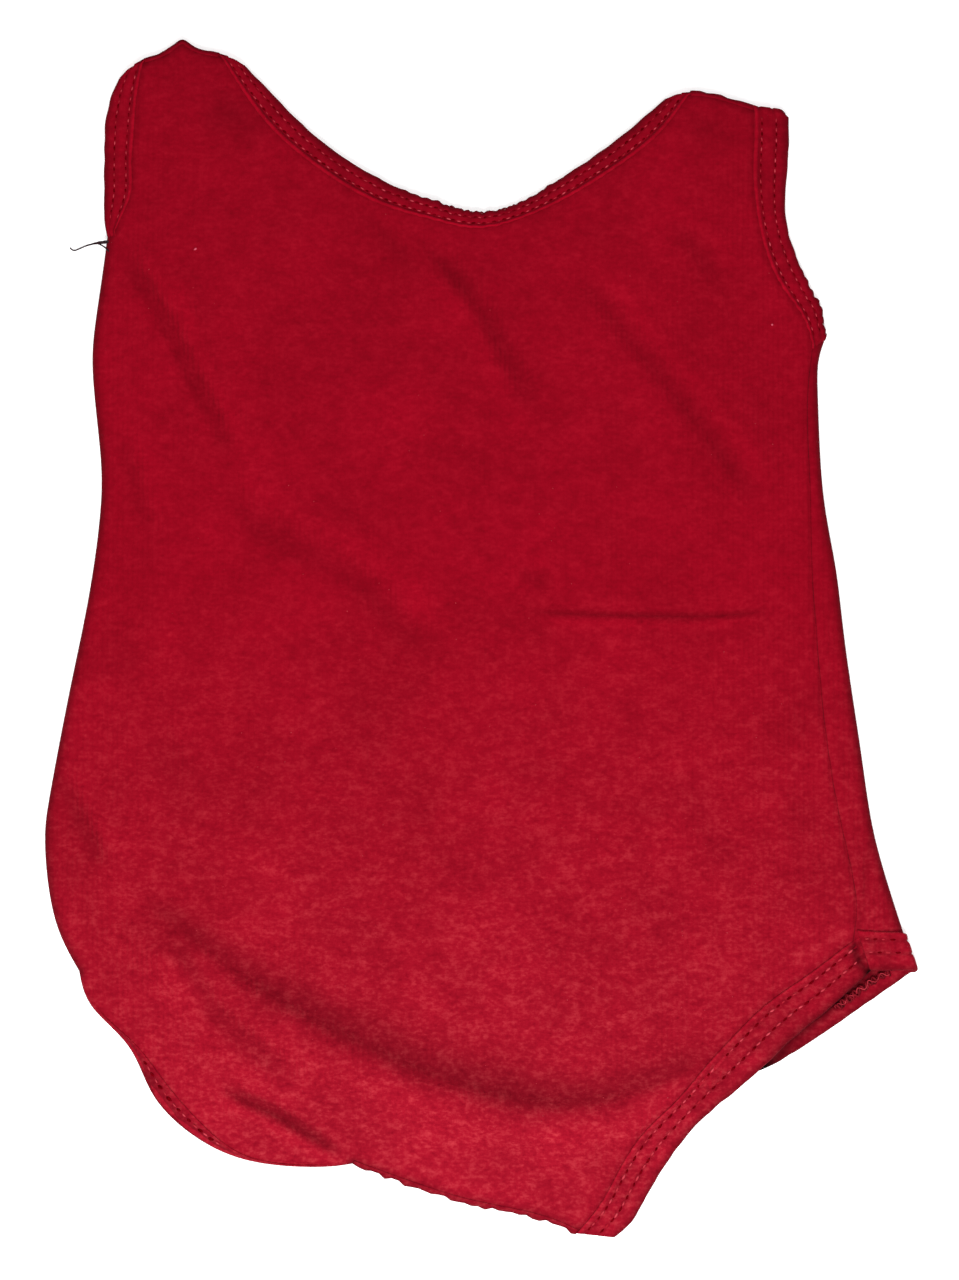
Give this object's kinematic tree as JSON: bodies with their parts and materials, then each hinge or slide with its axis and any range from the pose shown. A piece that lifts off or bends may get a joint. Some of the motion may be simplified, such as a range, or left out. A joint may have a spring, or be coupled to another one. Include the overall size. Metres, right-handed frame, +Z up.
{
  "type": "gymnastics leotard",
  "caption": "Child's sleeveless stretch leotard with scoop neck and elastic-bound openings, lying flat and empty, front up.",
  "frame": {"origin": "centre of the flat garment's footprint, on the table it lies on", "axes": "+X to the wearer's left, +Y from the crotch to the shoulders, +Z up from the table through the back layer and then the front layer"},
  "size_m": [0.3012, 0.4135, 0.013],
  "materials": {
    "jersey": "brushed cotton-elastane jersey, matt, slightly pilled, deep red",
    "binding": "the same jersey folded over elastic, matt, deep red",
    "lining": "plain fine jersey, matt, deep red",
    "elastic": "woven white elastic tape, matt",
    "overlock": "overlocked edges covered in dark red thread, matt",
    "stitch_thread": "spun polyester thread, slight sheen, dark red",
    "label": "smooth white woven tape, blank",
    "loose_thread": "spun thread end, very dark, matt"
  },
  "bodies": {
    "root": {"front_panel": "jersey", "back_panel": "jersey", "gusset_lining": "lining", "neck_binding": "binding", "right_armhole_binding": "binding", "left_armhole_binding": "binding", "right_leg_binding": "binding", "left_leg_binding": "binding", "neck_elastic": "elastic", "right_armhole_elastic": "elastic", "left_armhole_elastic": "elastic", "right_leg_elastic": "elastic", "left_leg_elastic": "elastic", "right_side_seam": "overlock", "left_side_seam": "overlock", "right_shoulder_seam": "overlock", "left_shoulder_seam": "overlock", "crotch_seam": "overlock", "neck_stitching": "stitch_thread", "right_armhole_stitching": "stitch_thread", "left_armhole_stitching": "stitch_thread", "right_leg_stitching": "stitch_thread", "left_leg_stitching": "stitch_thread", "care_label": "label", "loose_thread": "loose_thread"}
  },
  "joints": []
}
